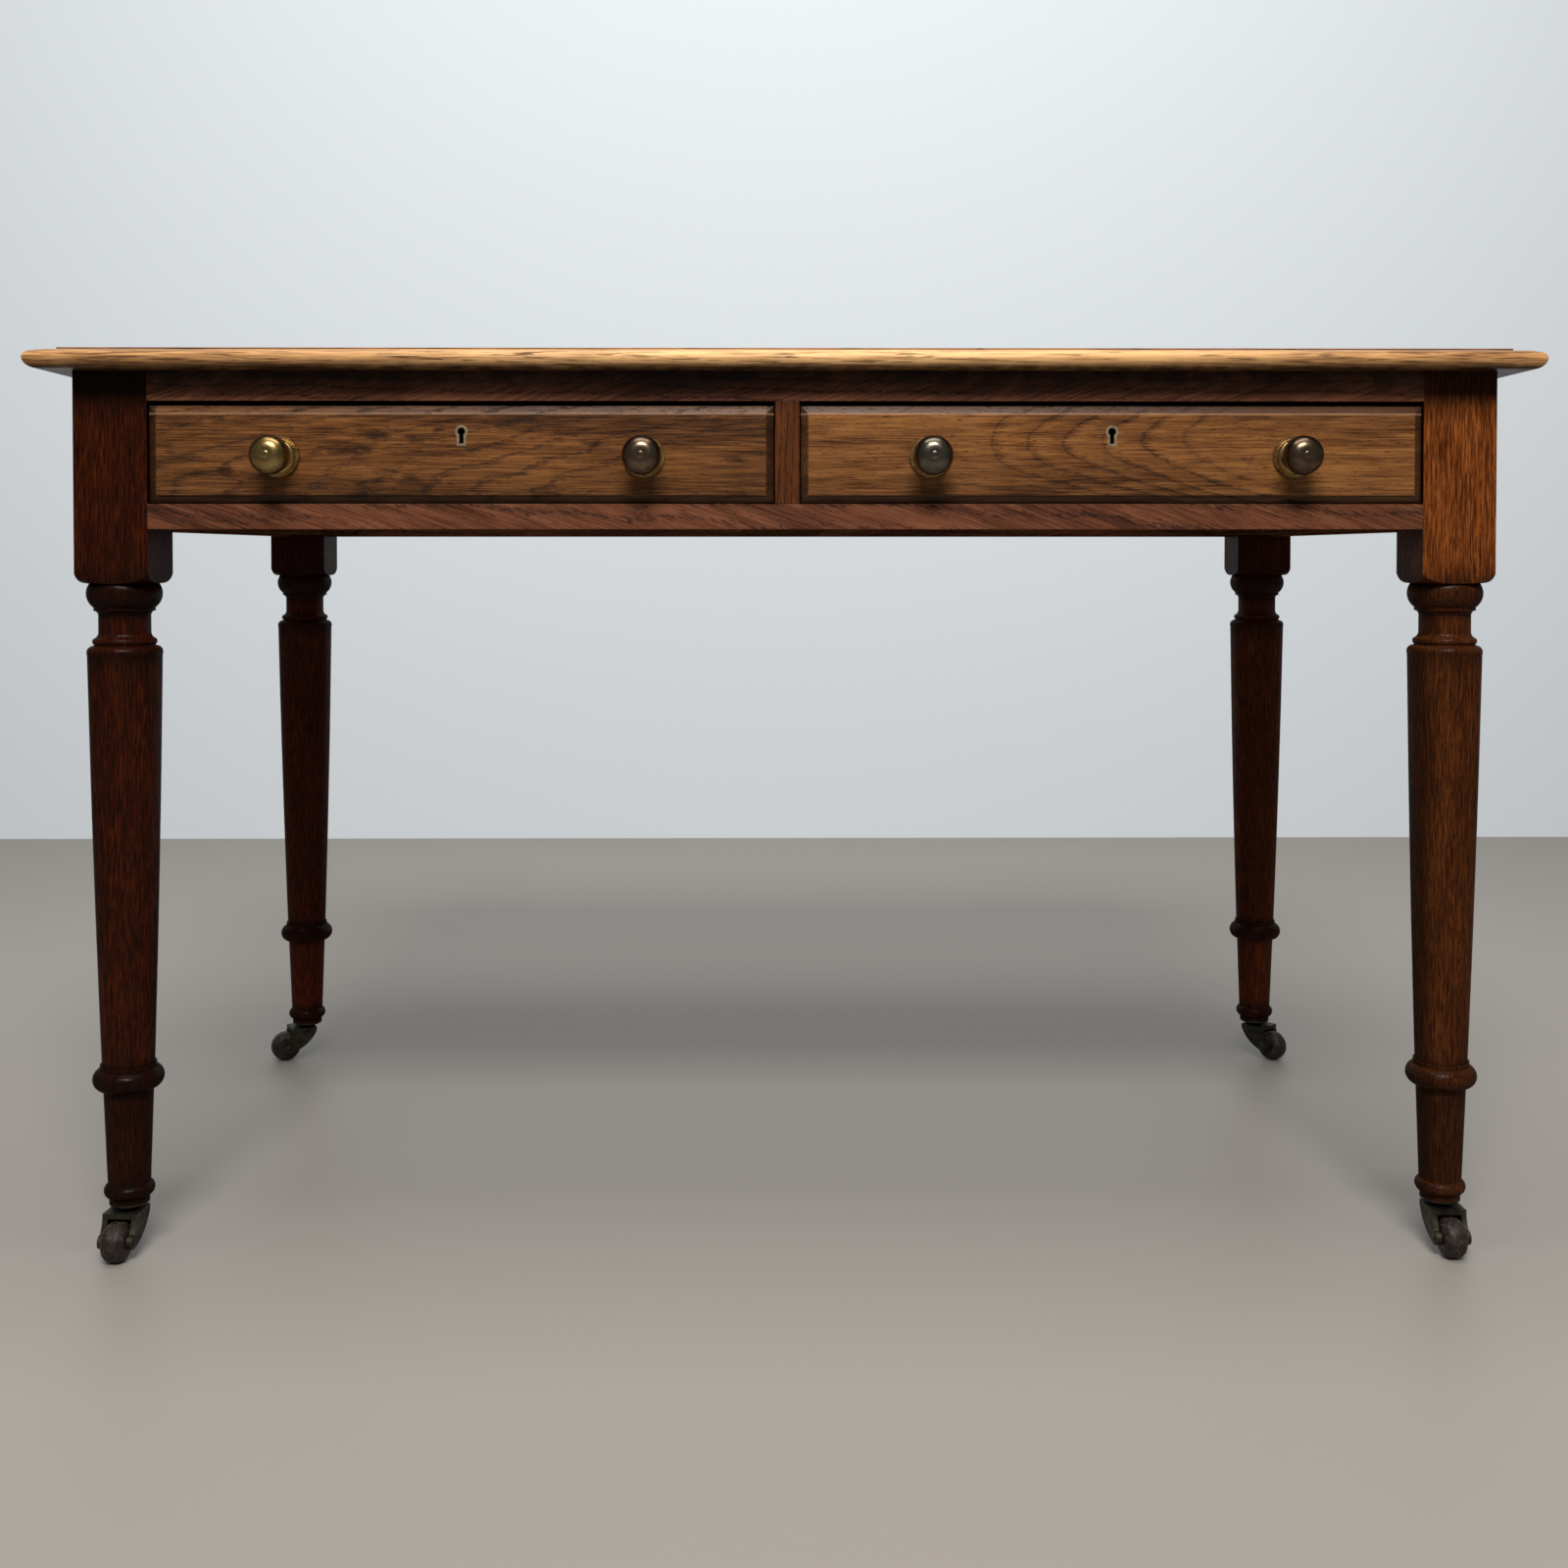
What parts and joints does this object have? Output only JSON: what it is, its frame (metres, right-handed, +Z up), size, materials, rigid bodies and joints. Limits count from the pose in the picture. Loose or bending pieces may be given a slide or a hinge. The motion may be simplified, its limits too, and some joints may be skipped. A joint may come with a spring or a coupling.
{
  "type": "writing table",
  "caption": "Oak writing table with moulded top, fielded frieze drawers with brass knobs and locks, turned tapering legs and swivelling castors.",
  "frame": {"origin": "on the floor, under the middle of the table's outline, knobs included", "axes": "+X to the right seen from the front, +Y from the front to the back, +Z up"},
  "size_m": [1.22, 0.6906, 0.75],
  "materials": {
    "oak_top": "waxed, worn at the edge",
    "oak_leg": "dark stained and waxed",
    "oak_rail": "stained and waxed",
    "oak_drawer_front": "stained and waxed, with strong figure",
    "oak_lining": "unfinished",
    "pine_runner": "unfinished",
    "brass_knob": "aged and toned",
    "brass_escutcheon": "rubbed",
    "iron_lock": "blackened",
    "steel_screw": "dull",
    "bronze_castor": "dark patina",
    "brown_wheel": "glazed, worn"
  },
  "bodies": {
    "table": {"back_left_castor_plate": "bronze_castor", "back_left_leg": "oak_leg", "back_rail": "oak_rail", "back_right_castor_plate": "bronze_castor", "back_right_leg": "oak_leg", "centre_kicker": "pine_runner", "centre_muntin": "oak_rail", "centre_runner": "pine_runner", "drawer_stops": "pine_runner", "front_bottom_rail": "oak_rail", "front_left_castor_plate": "bronze_castor", "front_left_leg": "oak_leg", "front_right_castor_plate": "bronze_castor", "front_right_leg": "oak_leg", "front_top_rail": "oak_rail", "left_kicker": "pine_runner", "left_runner": "pine_runner", "left_side_rail": "oak_rail", "right_kicker": "pine_runner", "right_runner": "pine_runner", "right_side_rail": "oak_rail", "top_board_back": "oak_top", "top_board_front": "oak_top", "top_board_middle": "oak_top", "top_screws": "steel_screw"},
    "left_drawer": {"left_drawer_back": "oak_lining", "left_drawer_bottom": "oak_lining", "left_drawer_escutcheon": "brass_escutcheon", "left_drawer_front": "oak_drawer_front", "left_drawer_left_knob": "brass_knob", "left_drawer_left_side": "oak_lining", "left_drawer_lock_case": "iron_lock", "left_drawer_lock_screws": "steel_screw", "left_drawer_right_knob": "brass_knob", "left_drawer_right_side": "oak_lining"},
    "left_lock_bolt": {"left_drawer_lock_bolt": "iron_lock"},
    "right_drawer": {"right_drawer_back": "oak_lining", "right_drawer_bottom": "oak_lining", "right_drawer_escutcheon": "brass_escutcheon", "right_drawer_front": "oak_drawer_front", "right_drawer_left_knob": "brass_knob", "right_drawer_left_side": "oak_lining", "right_drawer_lock_case": "iron_lock", "right_drawer_lock_screws": "steel_screw", "right_drawer_right_knob": "brass_knob", "right_drawer_right_side": "oak_lining"},
    "right_lock_bolt": {"right_drawer_lock_bolt": "iron_lock"},
    "front_left_castor": {"front_left_castor_horn": "bronze_castor", "front_left_castor_axle": "bronze_castor"},
    "front_left_wheel": {"front_left_castor_wheel": "brown_wheel"},
    "front_right_castor": {"front_right_castor_horn": "bronze_castor", "front_right_castor_axle": "bronze_castor"},
    "front_right_wheel": {"front_right_castor_wheel": "brown_wheel"},
    "back_left_castor": {"back_left_castor_horn": "bronze_castor", "back_left_castor_axle": "bronze_castor"},
    "back_left_wheel": {"back_left_castor_wheel": "brown_wheel"},
    "back_right_castor": {"back_right_castor_horn": "bronze_castor", "back_right_castor_axle": "bronze_castor"},
    "back_right_wheel": {"back_right_castor_wheel": "brown_wheel"}
  },
  "joints": [
    {"name": "left_drawer_slide", "type": "slide", "parent": "table", "child": "left_drawer", "axis": [0, -1, 0], "range_m": [0, 0.38]},
    {"name": "left_lock_bolt_throw", "type": "slide", "parent": "left_drawer", "child": "left_lock_bolt", "axis": [0, 0, 1], "range_m": [0, 0.01]},
    {"name": "right_drawer_slide", "type": "slide", "parent": "table", "child": "right_drawer", "axis": [0, -1, 0], "range_m": [0, 0.38]},
    {"name": "right_lock_bolt_throw", "type": "slide", "parent": "right_drawer", "child": "right_lock_bolt", "axis": [0, 0, 1], "range_m": [0, 0.01]},
    {"name": "front_left_castor_swivel", "type": "hinge", "parent": "table", "child": "front_left_castor", "pos_m": [-0.551, -0.27565, 0.042], "axis": [0, 0, 1], "continuous": true},
    {"name": "front_left_wheel_spin", "type": "hinge", "parent": "front_left_castor", "child": "front_left_wheel", "pos_m": [-0.55274, -0.30059, 0.016], "axis": [0.9976, -0.0698, 0], "continuous": true},
    {"name": "front_right_castor_swivel", "type": "hinge", "parent": "table", "child": "front_right_castor", "pos_m": [0.551, -0.27565, 0.042], "axis": [0, 0, 1], "continuous": true},
    {"name": "front_right_wheel_spin", "type": "hinge", "parent": "front_right_castor", "child": "front_right_wheel", "pos_m": [0.55144, -0.30065, 0.016], "axis": [0.9998, 0.0175, 0], "continuous": true},
    {"name": "back_left_castor_swivel", "type": "hinge", "parent": "table", "child": "back_left_castor", "pos_m": [-0.551, 0.28635, 0.042], "axis": [0, 0, 1], "continuous": true},
    {"name": "back_left_wheel_spin", "type": "hinge", "parent": "back_left_castor", "child": "back_left_wheel", "pos_m": [-0.57265, 0.27385, 0.016], "axis": [0.5, -0.866, 0], "continuous": true},
    {"name": "back_right_castor_swivel", "type": "hinge", "parent": "table", "child": "back_right_castor", "pos_m": [0.551, 0.28635, 0.042], "axis": [0, 0, 1], "continuous": true},
    {"name": "back_right_wheel_spin", "type": "hinge", "parent": "back_right_castor", "child": "back_right_wheel", "pos_m": [0.56639, 0.26665, 0.016], "axis": [0.788, 0.6157, 0], "continuous": true}
  ]
}
